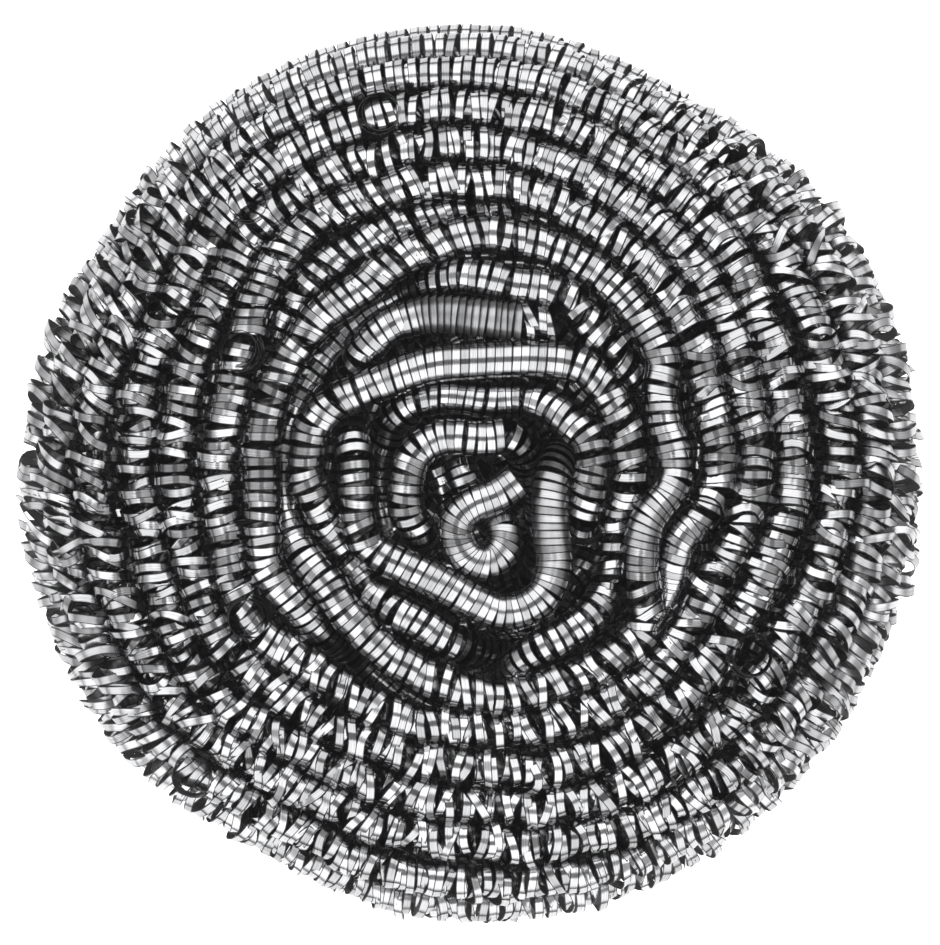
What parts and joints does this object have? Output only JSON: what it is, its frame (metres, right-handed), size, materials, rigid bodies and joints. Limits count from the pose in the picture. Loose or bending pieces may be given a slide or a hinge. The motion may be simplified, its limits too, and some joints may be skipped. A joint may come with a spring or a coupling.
{
  "type": "metal scourer",
  "caption": "Round domed scouring pad wound from one long strand of coiled flat stainless ribbon, with loops in the middle and rows out to the rim.",
  "frame": {"origin": "centre of the pad's outline, on the flat underside", "axes": "+Z out of the domed top, +Y towards the edge beyond the strand's cut end, +X to the right seen from above"},
  "size_m": [0.0897, 0.0896, 0.028],
  "materials": {
    "stainless_ribbon": "bright"
  },
  "bodies": {
    "root": {"wound_strand": "stainless_ribbon"}
  },
  "joints": []
}
